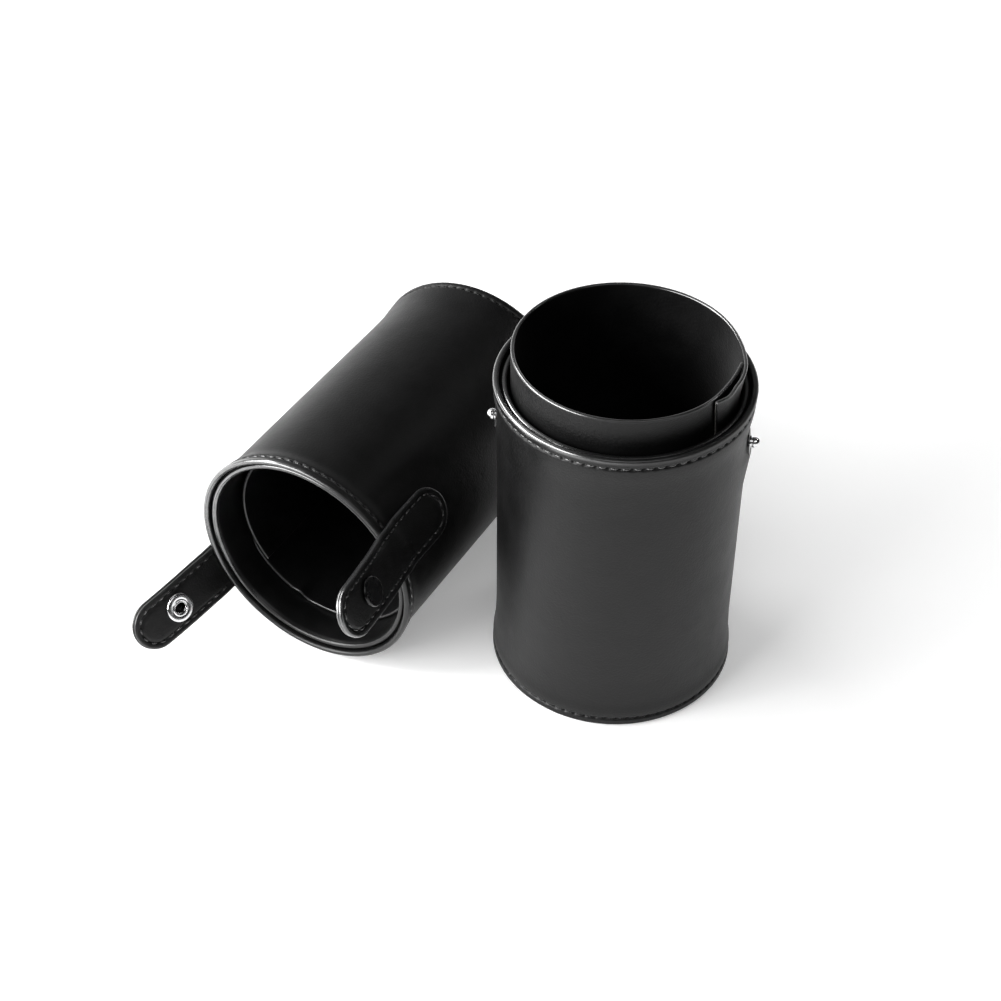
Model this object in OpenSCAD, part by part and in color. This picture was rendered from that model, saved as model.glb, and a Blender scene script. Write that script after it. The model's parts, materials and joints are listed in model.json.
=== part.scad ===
// Cylindrical leather dice cup with a matching lid.
// The cup stands upright on its axis. The lid lies on its side beside it, with its mouth
// forward, and carries two straps that snap on to the ball studs of the cup.

/* [Case] */
// Height of the cup from the table to the top of its rim
cup_height = 113.3; // [90:0.1:130]
// Length of the lid from its mouth to its end
lid_length = 114.2; // [90:0.1:130]
// Outer radius of the wall halfway up
body_r = 38.9; // [38:0.1:40]
// How far the rims and the foot stand proud of the wall
flare = 1.3; // [1.1:0.1:1.6]
// Length of wall over which an end flares out
flare_length = 14; // [10:1:20]
// Thickness of the outer leather and of the lining
leather_t = 1.0; // [0.8:0.1:1.2]
// Thickness of the board inside the wall
board_t = 2.0; // [1.5:0.1:2.2]
// Distance of every seam from the edge that it follows
seam_inset = 3.3; // [2.5:0.1:3.5]

/* [Inner sleeves] */
// Outer radius of the rolled sleeves
sleeve_r = 34.6; // [34:0.1:34.7]
// Thickness of the sleeve sheet
sleeve_t = 1.2; // [0.8:0.1:1.4]
// How far the sleeve of the cup stands above its rim
collar_proud = 10.5; // [6:0.1:11]
// How far the sleeve of the lid is set back from its mouth
sleeve_setback = 12.8; // [12:0.1:16]
// Angle of the sheet that lies double where the roll overlaps
overlap_angle = 27; // [15:1:40]

/* [Studs] */
// Height of the stud centres
stud_z = 93.15; // [85:0.05:96]
// Radius of the ball head
ball_r = 1.75; // [1.5:0.05:1.8]
// Radius of the stud flange
flange_r = 4.4; // [3.5:0.1:4.6]

/* [Straps] */
// Half of the strap width
strap_half_w = 8.7; // [8:0.1:10]
// Length of strap past the mouth of the lid
strap_free = 38.5; // [36:0.1:42]
// Length of strap that is sewn to the lid
strap_sewn = 31; // [26:1:36]
// Thickness of one strap layer
layer_t = 1.1; // [0.9:0.1:1.2]
// Outward splay of the straps at rest
splay = 9.5; // [0:0.5:15]
// Radius of the snap cap
cap_r = 5.2; // [4.8:0.1:5.6]
// Radius of the snap socket
socket_r = 4.7; // [4.2:0.1:5]

/* [Lid placement] */
// Position of the lid's mouth centre to the left of the cup's axis
lid_x = -100; // [-120:1:-95]
// Position of the lid's mouth centre in depth
lid_y = -22; // [-30:1:-15]
// Direction in which the lid points, from its mouth to its end
lid_yaw = 70.5; // [65:0.5:75]
// Roll of the lid about its own axis
lid_roll = 61.3; // [55:0.1:65]

/* [Hidden] */

$fn = 96;
// Smoothness of the large round that a small stud is cut to
fine = 720;
rim_r = body_r + flare;
board_r = body_r - leather_t;
lining_outer_r = board_r - board_t;
lining_r = lining_outer_r - leather_t;
// The turned hems of the rim: two leather layers with a groove between them
hem_t = 1.9;
hem_height = 4.8;
lining_flare = 0.8;
lining_flare_length = 8;
lining_drop = 1.1;
// Base stack, from the table up
base_skin_t = 1.2;
base_board_t = 2.0;
pad_t = 0.8;
base_stack = base_skin_t + base_board_t;
foot_flange = 7;
thread_r = 0.3;
steps = 7;
// The free strap turns about a line just outside the mouth of the lid
hinge_out = 1.2;
hinge_r = rim_r + layer_t + 0.2;
free_start = 1.2;
sewn_start = 1.0;
strap_tip = strap_free - hinge_out;
snap_u = cup_height - stud_z - hinge_out;
edge_inset = 2.3;
stitch_w = 0.4;
stitch_h = 0.25;
cross_seam = 10.3;
snap_hole_r = 2.55;
ball_way_r = 2.05;
cap_h = 1.5;
// Rounding of the cap's edge, the rise of its crown and the depth of the post's hollow in it
cap_round = 0.8;
cap_rise = 0.25;
cap_hollow = 0.4;
socket_h = 1.8;
post_end = layer_t + 0.4;
wire_r = 0.25;
wire_ring_r = 2.0;
wire_z = 0.9;
rivet_r = 1.0;
rivet_head_r = 3.2;
rivet_head_t = 0.6;
// How far a rivet reaches into its stud
rivet_grip = 1.1;
stud_neck_r = 1.25;
flange_t = 0.5;
ball_x = body_r + 1.95;
// How far a stud piece reaches into its wall before it is cut round to fit
bury = 0.5;
cutter_half = 10;
left_a = lid_roll;
right_a = lid_roll + 180;

leather_black = [0.05, 0.05, 0.05];
lining_black = [0.09, 0.09, 0.09];
card_grey = [0.35, 0.33, 0.3];
thread_black = [0.02, 0.02, 0.02];
steel = [0.8, 0.8, 0.82];
enamel = [0.03, 0.03, 0.035];

// ---- profiles of a wall of the given length, measured from its closed end ----

// Outer radius of the skin at height z
function skin_at(z, len) = body_r + flare * (
    z < flare_length ? pow(1 - z / flare_length, 2) :
    z > len - flare_length ? pow(1 - (len - z) / flare_length, 2) : 0);

// Inner radius of the lining at height z
function lining_at(z, len) = lining_r + lining_flare *
    pow(max(0, z - (len - lining_drop - lining_flare_length)) / lining_flare_length, 2);

// Heights at which a wall's profile has a point, between two limits
function heights(z0, z1, len) = concat(
    [z0],
    [for (i = [0:steps]) let (z = flare_length * i / steps) if (z > z0 && z < z1) z],
    [for (i = [0:steps]) let (z = len - flare_length + flare_length * i / steps) if (z > z0 && z < z1) z],
    [z1]);

function reversed(list) = [for (i = [len(list) - 1:-1:0]) list[i]];

// Half round that closes a hem, from its outer to its inner face
function hem_top(r_out, z) = [for (i = [1:7]) [
    r_out - hem_t / 2 + hem_t / 2 * cos(i * 180 / 8),
    z + hem_t / 2 * sin(i * 180 / 8)]];

// ---- pieces shared by the cup and the lid, each with its closed end at z = 0 ----

module seam_ring(z, len) {
    rotate_extrude() translate([skin_at(z, len) - thread_r, z]) circle(thread_r, $fn = 16);
}

module wall_skin(len) {
    shoulder = len - hem_height;
    round_z = len - hem_t / 2;
    outer = [for (z = heights(0, round_z, len)) [skin_at(z, len), z]];
    hem = [for (z = [round_z, shoulder]) [skin_at(z, len) - hem_t, z]];
    inner = [for (z = reversed(heights(0, shoulder, len))) [skin_at(z, len) - leather_t, z]];
    difference() {
        rotate_extrude() polygon(concat(outer, hem_top(skin_at(round_z, len), round_z), hem, inner));
        seam_ring(seam_inset, len);
        seam_ring(len - seam_inset, len);
    }
}

module wall_board(len) {
    shoulder = len - hem_height;
    foot = [[board_r, base_stack], [board_r, foot_flange]];
    outer = [for (z = heights(foot_flange, shoulder, len)) [skin_at(z, len) - leather_t, z]];
    inner = [for (z = reversed(heights(base_stack, shoulder, len))) [lining_at(z, len) + leather_t, z]];
    rotate_extrude() polygon(concat(foot, outer, inner));
}

module wall_lining(len) {
    shoulder = len - hem_height;
    top = len - lining_drop;
    round_z = top - hem_t / 2;
    inner = [for (z = heights(base_stack, round_z, len)) [lining_at(z, len), z]];
    crown = reversed(hem_top(lining_at(round_z, len) + hem_t, round_z));
    hem = [for (z = [round_z, shoulder]) [lining_at(z, len) + hem_t, z]];
    outer = [for (z = reversed(heights(base_stack, shoulder, len))) [lining_at(z, len) + leather_t, z]];
    rotate_extrude() polygon(concat(inner, crown, hem, outer));
}

// Disc with an upturned flange, thinned towards its edge, inside the foot of the skin
module end_skin(len) {
    outer = [for (z = heights(0, foot_flange, len)) [skin_at(z, len) - leather_t, z]];
    rotate_extrude() polygon(concat([[0, 0]], outer,
        [[board_r, foot_flange], [board_r, base_skin_t], [0, base_skin_t]]));
}

module end_board() {
    translate([0, 0, base_skin_t]) cylinder(r = board_r, h = base_board_t);
}

module end_pad() {
    translate([0, 0, base_stack]) cylinder(r = lining_r, h = pad_t);
}

// Radius of the middle of the rolled sheet after it has turned through the angle a
function roll_at(a) = sleeve_r - sleeve_t / 2 - (sleeve_t + 0.02) * (
    a < 350 ? 0 :
    a > 358 ? 1 : (1 - cos((a - 350) * 22.5)) / 2);

// Sheet rolled once round anticlockwise, its end passing inside its beginning
module rolled_sheet(h) {
    turns = [for (i = [0:3:360 + overlap_angle]) i];
    outer = [for (a = turns) (roll_at(a) + sleeve_t / 2) * [cos(a), sin(a)]];
    inner = [for (a = reversed(turns)) (roll_at(a) - sleeve_t / 2) * [cos(a), sin(a)]];
    linear_extrude(h) polygon(concat(outer, inner));
}

// ---- cup ----

module cup_board() {
    color(card_grey) difference() {
        wall_board(cup_height);
        rivet_holes();
        for (a = [0, 180]) at_stud(a, lining_outer_r - bury)
            cylinder(r = rivet_head_r, h = bury + rivet_head_t);
    }
}

module cup_base_board() {
    color(card_grey) end_board();
}

module cup_skin() {
    color(leather_black) difference() {
        wall_skin(cup_height);
        rivet_holes();
    }
}

module cup_base_skin() {
    color(leather_black) end_skin(cup_height);
}

module cup_lining() {
    color(lining_black) wall_lining(cup_height);
}

module cup_floor_pad() {
    color(lining_black) end_pad();
}

// The flap edge of the collar is on the right, towards the front
module cup_collar() {
    bottom = base_stack + pad_t;
    color(leather_black) translate([0, 0, bottom]) rotate([0, 0, -36])
        rolled_sheet(cup_height + collar_proud - bottom);
}

module cup_rim_thread() {
    color(thread_black) seam_ring(cup_height - seam_inset, cup_height);
}

module cup_foot_thread() {
    color(thread_black) seam_ring(seam_inset, cup_height);
}

// Places its children on the cup's wall at a stud, x = 0 on the axis and z pointing outwards
module at_stud(a, r) {
    rotate([0, 0, a]) translate([r, 0, stud_z]) rotate([0, 90, 0]) children();
}

// Round wall that the foot of a stud piece is cut to
module wall_cutter(r) {
    translate([0, 0, stud_z - cutter_half]) cylinder(r = r, h = 2 * cutter_half, $fn = fine);
}

module rivet_holes() {
    for (a = [0, 180]) at_stud(a, lining_outer_r)
        cylinder(r = rivet_r, h = rim_r - lining_outer_r, $fn = 32);
}

// Ball stud on the wall, its flange cut to sit on the round skin
module stud(a) {
    color(steel) difference() {
        union() {
            at_stud(a, body_r - bury) cylinder(r = flange_r, h = flange_t + bury);
            at_stud(a, body_r) cylinder(r = stud_neck_r, h = ball_x - body_r, $fn = 48);
            at_stud(a, ball_x) sphere(ball_r, $fn = 48);
        }
        wall_cutter(body_r);
        at_stud(a, body_r - bury) cylinder(r = rivet_r, h = bury + rivet_grip + 0.1, $fn = 32);
    }
}

// Rivet behind the stud, its head let into the board under the lining
module stud_rivet(a) {
    color(steel) difference() {
        union() {
            at_stud(a, lining_outer_r - bury) cylinder(r = rivet_head_r, h = bury + rivet_head_t);
            at_stud(a, lining_outer_r)
                cylinder(r = rivet_r, h = body_r + rivet_grip - lining_outer_r, $fn = 32);
        }
        wall_cutter(lining_outer_r);
    }
}

module left_stud() stud(180);
module right_stud() stud(0);
module left_stud_rivet() stud_rivet(180);
module right_stud_rivet() stud_rivet(0);

// ---- lid: built with its mouth at z = 0 and its end at z = lid_length, then laid down ----

module on_lid() {
    translate([lid_x, lid_y, rim_r]) rotate([0, 0, lid_yaw]) rotate([0, 90, 0]) children();
}

module from_end() {
    on_lid() translate([0, 0, lid_length]) mirror([0, 0, 1]) children();
}

module lid_board() {
    color(card_grey) from_end() wall_board(lid_length);
}

module lid_end_board() {
    color(card_grey) from_end() end_board();
}

module lid_skin() {
    color(leather_black) from_end() wall_skin(lid_length);
}

module lid_end_skin() {
    color(leather_black) from_end() end_skin(lid_length);
}

module lid_lining() {
    color(lining_black) from_end() wall_lining(lid_length);
}

module lid_end_pad() {
    color(lining_black) from_end() end_pad();
}

// The overlap of the lid's sleeve is at its lower left
module lid_sleeve() {
    color(leather_black) on_lid() translate([0, 0, sleeve_setback]) rotate([0, 0, 79]) mirror([0, 1, 0])
        rolled_sheet(lid_length - base_stack - pad_t - sleeve_setback);
}

module lid_mouth_thread() {
    color(thread_black) from_end() seam_ring(lid_length - seam_inset, lid_length);
}

module lid_end_thread() {
    color(thread_black) from_end() seam_ring(seam_inset, lid_length);
}

// ---- sewn part of a strap, following the wall of the lid ----

// Layer over the skin between two offsets
module over_skin(low, high) {
    at = heights(lid_length - strap_sewn - 1, lid_length - sewn_start, lid_length);
    outer = [for (z = at) [skin_at(z, lid_length) + high, z]];
    inner = [for (z = reversed(at)) [skin_at(z, lid_length) + low, z]];
    from_end() rotate_extrude() polygon(concat(outer, inner));
}

// Outline with one round end, its straight end at x = start
module tongue(start, tip, half_w) {
    translate([start, -half_w]) square([tip - half_w - start, 2 * half_w]);
    translate([tip - half_w, 0]) circle(half_w);
}

module sewn_prism(a) {
    on_lid() rotate([0, 0, a]) translate([20, 0, 0]) rotate([0, 90, 0]) linear_extrude(30)
        mirror([1, 0]) children();
}

module sewn_layer(a, low, high) {
    intersection() {
        over_skin(low, high);
        sewn_prism(a) tongue(sewn_start, strap_sewn, strap_half_w);
    }
}

module sewn_thread(a) {
    half_in = strap_half_w - edge_inset;
    color(thread_black) intersection() {
        over_skin(2 * layer_t, 2 * layer_t + stitch_h);
        sewn_prism(a) union() {
            difference() {
                tongue(cross_seam, strap_sewn - edge_inset, half_in);
                tongue(cross_seam - 1, strap_sewn - edge_inset - stitch_w, half_in - stitch_w);
            }
            translate([cross_seam, -half_in]) square([stitch_w, 2 * half_in]);
        }
    }
}

module left_strap_sewn_outer() {
    color(leather_black) sewn_layer(left_a, layer_t, 2 * layer_t);
}

module left_strap_sewn_lining() {
    color(lining_black) sewn_layer(left_a, 0, layer_t);
}

module left_strap_sewn_thread() sewn_thread(left_a);

module right_strap_sewn_outer() {
    color(leather_black) sewn_layer(right_a, layer_t, 2 * layer_t);
}

module right_strap_sewn_lining() {
    color(lining_black) sewn_layer(right_a, 0, layer_t);
}

module right_strap_sewn_thread() sewn_thread(right_a);

// ---- free part of a strap: x runs along it from its hinge line, z points outwards ----

module on_strap(a) {
    on_lid() rotate([0, 0, a]) translate([hinge_r, 0, -hinge_out]) rotate([0, 90 - splay, 0]) children();
}

module strap_layer(a, z) {
    on_strap(a) translate([0, 0, z]) linear_extrude(layer_t) difference() {
        tongue(free_start, strap_tip, strap_half_w);
        translate([snap_u, 0]) circle(snap_hole_r);
    }
}

module strap_thread(a) {
    half_in = strap_half_w - edge_inset;
    color(thread_black) on_strap(a) for (z = [layer_t, -layer_t - stitch_h])
        translate([0, 0, z]) linear_extrude(stitch_h) difference() {
            tongue(free_start + 1, strap_tip - edge_inset, half_in);
            tongue(free_start, strap_tip - edge_inset - stitch_w, half_in - stitch_w);
        }
}

// Cap with a low crown and a hollow post through the strap
module snap_cap(a) {
    crown = [for (i = [0:6]) [cap_r, cap_h] - cap_round * [1 - cos(i * 15), 1 - sin(i * 15)]];
    color(enamel) on_strap(a) translate([snap_u, 0, layer_t]) difference() {
        union() {
            rotate_extrude() polygon(concat([[0, 0], [cap_r, 0]], crown, [[0, cap_h + cap_rise]]));
            translate([0, 0, -layer_t - post_end]) cylinder(r = snap_hole_r, h = layer_t + post_end);
        }
        translate([0, 0, -layer_t - post_end - 1])
            cylinder(r = ball_way_r, h = layer_t + post_end + 1 + cap_hollow);
    }
}

// Socket ring with a groove inside its mouth for the spring
module snap_socket(a) {
    ring = [
        [ball_way_r + 0.1, -socket_h], [socket_r - 1.2, -socket_h], [socket_r - 0.5, -socket_h + 0.3],
        [socket_r, -socket_h + 1.1], [socket_r, 0], [snap_hole_r, 0], [snap_hole_r, -0.4],
        [ball_way_r + 0.1, -0.4]
    ];
    color(steel) on_strap(a) translate([snap_u, 0, -layer_t]) difference() {
        rotate_extrude() polygon(ring);
        rotate_extrude() translate([wire_ring_r, -wire_z]) circle(wire_r, $fn = 24);
    }
}

module snap_spring(a) {
    color(steel) on_strap(a) translate([snap_u, 0, -layer_t])
        rotate_extrude() translate([wire_ring_r, -wire_z]) circle(wire_r, $fn = 24);
}

module left_strap_outer() {
    color(leather_black) strap_layer(left_a, 0);
}

module left_strap_lining() {
    color(lining_black) strap_layer(left_a, -layer_t);
}

module left_strap_thread() strap_thread(left_a);
module left_snap_cap() snap_cap(left_a);
module left_snap_socket() snap_socket(left_a);
module left_snap_spring() snap_spring(left_a);

module right_strap_outer() {
    color(leather_black) strap_layer(right_a, 0);
}

module right_strap_lining() {
    color(lining_black) strap_layer(right_a, -layer_t);
}

module right_strap_thread() strap_thread(right_a);
module right_snap_cap() snap_cap(right_a);
module right_snap_socket() snap_socket(right_a);
module right_snap_spring() snap_spring(right_a);

cup_board();
cup_base_board();
cup_skin();
cup_base_skin();
cup_lining();
cup_floor_pad();
cup_collar();
cup_rim_thread();
cup_foot_thread();
left_stud();
left_stud_rivet();
right_stud();
right_stud_rivet();
lid_board();
lid_end_board();
lid_skin();
lid_end_skin();
lid_lining();
lid_end_pad();
lid_sleeve();
lid_mouth_thread();
lid_end_thread();
left_strap_sewn_outer();
left_strap_sewn_lining();
left_strap_sewn_thread();
left_strap_outer();
left_strap_lining();
left_strap_thread();
left_snap_cap();
left_snap_socket();
left_snap_spring();
right_strap_sewn_outer();
right_strap_sewn_lining();
right_strap_sewn_thread();
right_strap_outer();
right_strap_lining();
right_strap_thread();
right_snap_cap();
right_snap_socket();
right_snap_spring();
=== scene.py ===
import json
import math

import bpy
import numpy as np
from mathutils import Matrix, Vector


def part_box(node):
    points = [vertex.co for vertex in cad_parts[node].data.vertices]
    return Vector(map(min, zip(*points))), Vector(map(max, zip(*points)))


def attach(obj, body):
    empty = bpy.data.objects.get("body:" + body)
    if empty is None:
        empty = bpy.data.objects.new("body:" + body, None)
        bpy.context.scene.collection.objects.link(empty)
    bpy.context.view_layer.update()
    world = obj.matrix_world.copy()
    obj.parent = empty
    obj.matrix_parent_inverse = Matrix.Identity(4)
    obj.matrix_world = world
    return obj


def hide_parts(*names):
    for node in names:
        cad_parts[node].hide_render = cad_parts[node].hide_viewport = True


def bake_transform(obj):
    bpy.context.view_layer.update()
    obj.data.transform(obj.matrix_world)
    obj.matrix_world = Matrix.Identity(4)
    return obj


# Looks of a stitched leather cup and its lid. Lengths are in millimetres until a mesh is made.
# A wall's own frame has its closed end at z = 0 and its open end at z = its length.

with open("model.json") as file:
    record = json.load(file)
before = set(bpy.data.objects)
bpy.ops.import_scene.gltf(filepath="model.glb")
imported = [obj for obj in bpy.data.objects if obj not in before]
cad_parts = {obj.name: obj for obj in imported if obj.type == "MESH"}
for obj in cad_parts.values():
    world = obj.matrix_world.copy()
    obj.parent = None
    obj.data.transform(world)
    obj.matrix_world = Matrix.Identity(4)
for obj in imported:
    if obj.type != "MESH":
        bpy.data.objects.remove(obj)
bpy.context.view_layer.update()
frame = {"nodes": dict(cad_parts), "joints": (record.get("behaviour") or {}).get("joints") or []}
MM = 0.001

# ---------------------------------------------------------------- measures from the frame

TURN_JOINTS = {j["child"]: j for j in frame["joints"] if j["type"] == "hinge"}


def unit(v):
    return v / np.linalg.norm(v)


def node_points(node):
    """Corners of a CAD node at rest, in millimetres."""
    vertices = frame["nodes"][node].data.vertices
    points = np.empty(len(vertices) * 3)
    vertices.foreach_get("co", points)
    return points.reshape(-1, 3) / MM


def lid_frame():
    """Rotation and origin of the lid's wall: x through the left strap, z from its end to its mouth."""
    left = np.array(TURN_JOINTS["left_strap"]["pos_m"]) / MM
    right = np.array(TURN_JOINTS["right_strap"]["pos_m"]) / MM
    x = unit(left - right)
    z = unit(np.cross(x, np.array(TURN_JOINTS["left_strap"]["axis"])))
    y = np.cross(z, x)
    turn = np.stack([x, y, z], axis=1)
    middle = (left + right) / 2
    along = (node_points("lid_skin") - middle) @ z
    return turn, middle + z * along.min(), along.max() - along.min()


LID_TURN, LID_END, LID_LENGTH = lid_frame()
CUP_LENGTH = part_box("cup_skin")[1].z / MM
COLLAR_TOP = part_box("cup_collar")[1].z / MM
RIM_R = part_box("cup_skin")[1].x / MM
SLEEVE_FRONT = ((node_points("lid_sleeve") - LID_END) @ LID_TURN)[:, 2].max()
SNAP_REACH = CUP_LENGTH - (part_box("left_stud")[0].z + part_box("left_stud")[1].z) / 2 / MM
CUP = (np.eye(3), np.zeros(3))
LID = (LID_TURN, LID_END)
WALLS = {"cup": (CUP, CUP_LENGTH), "lid": (LID, LID_LENGTH)}

# ---------------------------------------------------------------- sizes that the frame doesn't hold

BOARD_R = 37.9  # outside of the board in the wall
LINING_R = 34.9  # inside of the wall
LEATHER = 1.0  # thickness of the wall's leather
HEM = 1.9  # thickness of a turned hem
HEM_DEPTH = 4.8  # how far a hem reaches in from the open end
FLANGE_TOP = 7.0  # height of the end leather's upturned flange
FOOT_GAP = 1.0  # how far the wall's leather stops short of the closed end
FOOT_ROUND = 0.45  # rounding of the leather there
BASE_SKIN = 1.2  # thickness of the end leather
BASE_STACK = 3.2  # end leather and end board together
PAD = 0.8  # thickness of the lining disc
SEAM_INSET = 3.4  # from each end of a wall to its seam
SEAM_SUNK = 0.5  # how deep a wall's stitches lie
STITCHES = 72  # in the ring at each end of a wall
FACETS = STITCHES * 10
SHEET = 1.2  # thickness of a rolled sheet
STRAP_HALF = 8.7  # half the width of a strap
STRAP_SEWN = 30.6  # length sewn to the lid
STRAP_FREE = 37.9  # length from the lid's mouth to the tip
LAYER = 1.1  # from the middle of a strap to each of its faces
LAYER_GAP = 0.02  # from the middle of a strap to each of its two layers
STRAP_INSET = 2.3  # from a strap's edge to its seam
STRAP_PITCH = 3.45  # from one stitch of a strap to the next
CROSS_SEAM = 8.9  # from the lid's mouth to the cross seam
WRAP_R = 41.0  # radius on which the sewn part of a strap lies
FLAT = 1e-6  # bend of the free part, which is all but flat

# ---------------------------------------------------------------- mesh helpers


def curve_through(points, steps=8):
    """Dense line through the points, smooth at each of them (Catmull-Rom)."""
    p = np.array(points, float)
    p = np.vstack([2 * p[0] - p[1], p, 2 * p[-1] - p[-2]])
    t = np.linspace(0, 1, steps, endpoint=False)[:, None]
    spans = []
    for a, b, c, d in zip(p, p[1:], p[2:], p[3:]):
        spans.append(0.5 * (2 * b + (c - a) * t + (2 * a - 5 * b + 4 * c - d) * t**2
                            + (3 * b - a - 3 * c + d) * t**3))
    return np.vstack(spans + [p[-2:-1]])


def smooth_value(points, at):
    """Smooth function through (position, value) points, held level outside them."""
    line = curve_through(points, 12)
    return np.interp(at, line[:, 0], line[:, 1])


def arc(centre, radius, start, end, steps):
    """Points on a round, with its angles in degrees."""
    a = np.radians(np.linspace(start, end, steps))
    return [(centre[0] + radius * math.cos(t), centre[1] + radius * math.sin(t)) for t in a]


def smoothstep(low, high, at):
    t = np.clip((at - low) / (high - low), 0, 1)
    return t * t * (3 - 2 * t)


def bell(x, width):
    return np.exp(-((x / width) ** 2))


def turn_from(at, around):
    """Angle from at to around, between minus and plus half a turn (radians)."""
    return np.arctan2(np.sin(around - at), np.cos(around - at))


def wear_and_highlight_polish(around, highlit_at, least=0.25):
    """How polished an edge is at an angle: least all round, as wear, and most at the given angle (degrees),
    where highlights fall, which is a painted highlight.
    """
    return least + (1 - least) * bell(turn_from(math.radians(highlit_at), around), 0.95)


def grid_faces(rows, cols, wrap_rows=False, wrap_cols=False):
    """Quads over a grid of points that are numbered row by row."""
    r = np.arange(rows if wrap_rows else rows - 1)[:, None]
    c = np.arange(cols if wrap_cols else cols - 1)[None, :]
    up, along = (r + 1) % rows, (c + 1) % cols
    quads = np.stack([r * cols + c, r * cols + along, up * cols + along, up * cols + c], axis=-1)
    return quads.reshape(-1, 4).tolist()


def turned_points(radius, height, angle):
    """Points at a radius, height and angle about the wall's axis, from arrays that fit together."""
    points = np.stack([radius * np.cos(angle), radius * np.sin(angle), height + 0 * angle], axis=-1)
    return points.reshape(-1, 3)


def placed(place, points):
    """Points of a wall's own frame in the scene's."""
    turn, origin = place
    return np.asarray(points) @ turn.T + origin


def make_mesh(name, points, faces, grain, sharp, edge=0.0):
    """Mesh in metres with two attributes: grain is the rest position, in millimetres, that textures
    follow, and edge is 1 where the leather's edge is painted lighter and glossier, as wear all round and as
    a painted highlight where highlights fall, with a higher value at a cut end, painted pale grey as a
    highlight."""
    mesh = bpy.data.meshes.new(name)
    mesh.from_pydata((np.asarray(points) * MM).tolist(), [], faces)
    attribute = mesh.attributes.new("grain", "FLOAT_VECTOR", "POINT")
    attribute.data.foreach_set("vector", np.asarray(grain, np.float32).ravel())
    polished = mesh.attributes.new("edge", "FLOAT", "POINT")
    polished.data.foreach_set("value", np.zeros(len(points), np.float32) + np.asarray(edge, np.float32))
    mesh.validate()
    mesh.shade_smooth()
    mesh.set_sharp_from_angle(angle=math.radians(sharp))
    obj = bpy.data.objects.new(name, mesh)
    bpy.context.scene.collection.objects.link(obj)
    return obj


def face_outwards(obj):
    """Turns a closed mesh's faces so that they look outwards."""
    mesh = obj.data
    mesh.calc_loop_triangles()
    points = np.array([v.co for v in mesh.vertices])
    tris = np.array([t.vertices for t in mesh.loop_triangles])
    a, b, c = points[tris[:, 0]], points[tris[:, 1]], points[tris[:, 2]]
    if np.einsum("ij,ij->i", a, np.cross(b, c)).sum() < 0:
        mesh.flip_normals()


def piece(name, points, faces, material, body, stands_for, grain, sharp=45, edge=0.0):
    """One piece of the object, riding on a body if one is given, and replacing its CAD nodes."""
    obj = make_mesh(name, points, faces, grain, sharp, edge)
    face_outwards(obj)
    obj.data.materials.append(material)
    if body:
        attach(obj, body)
    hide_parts(*stands_for)
    return obj


def revolve(name, place, outline, material, body, stands_for, facets=FACETS, shift=None, sharp=45,
            polish=None):
    """A closed outline of (radius, height) points turned about the wall's axis."""
    radius, height = np.array(outline, float).T[:, None, :]
    around = np.linspace(0, 2 * math.pi, facets, endpoint=False)[:, None]
    edge = (polish(around, radius, height) + 0 * around).ravel() if polish else 0.0
    points = turned_points(radius + (shift(around, radius, height) if shift else 0), height, around)
    faces = grid_faces(facets, len(outline), True, True)
    return piece(name, placed(place, points), faces, material, body, stands_for, points, sharp, edge)


def disc(name, place, outline, material, body, stands_for, facets=240):
    """A round plate: an open outline of (radius, height) points from the axis out and back to the axis."""
    radius, height = np.array(outline[1:-1], float).T[:, None, :]
    points = turned_points(radius, height, np.linspace(0, 2 * math.pi, facets, endpoint=False)[:, None])
    cols = len(outline) - 2
    faces = grid_faces(facets, cols, True, False)
    first, last = len(points), len(points) + 1
    points = np.vstack([points, [[0, 0, outline[0][1]], [0, 0, outline[-1][1]]]])
    for i in range(facets):
        j = (i + 1) % facets
        faces.append([first, j * cols, i * cols])
        faces.append([last, i * cols + cols - 1, j * cols + cols - 1])
    return piece(name, placed(place, points), faces, material, body, stands_for, points)


# ---------------------------------------------------------------- materials


class Nodes:
    """Short ways to add nodes to a node tree."""

    def __init__(self, tree):
        self.tree = tree

    def node(self, kind, inputs=None, **settings):
        made = self.tree.nodes.new(kind)
        for key, value in settings.items():
            setattr(made, key, value)
        for key, value in (inputs or {}).items():
            if isinstance(value, bpy.types.NodeSocket):
                self.tree.links.new(value, made.inputs[key])
            else:
                made.inputs[key].default_value = value
        return made

    def ranged(self, value, low, high, to_low, to_high, **settings):
        made = self.node("ShaderNodeMapRange", {"Value": value, "From Min": low, "From Max": high,
                                                "To Min": to_low, "To Max": to_high}, **settings)
        return made.outputs["Result"]

    def math(self, kind, a, b):
        return self.node("ShaderNodeMath", {0: a, 1: b}, operation=kind).outputs[0]


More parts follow.
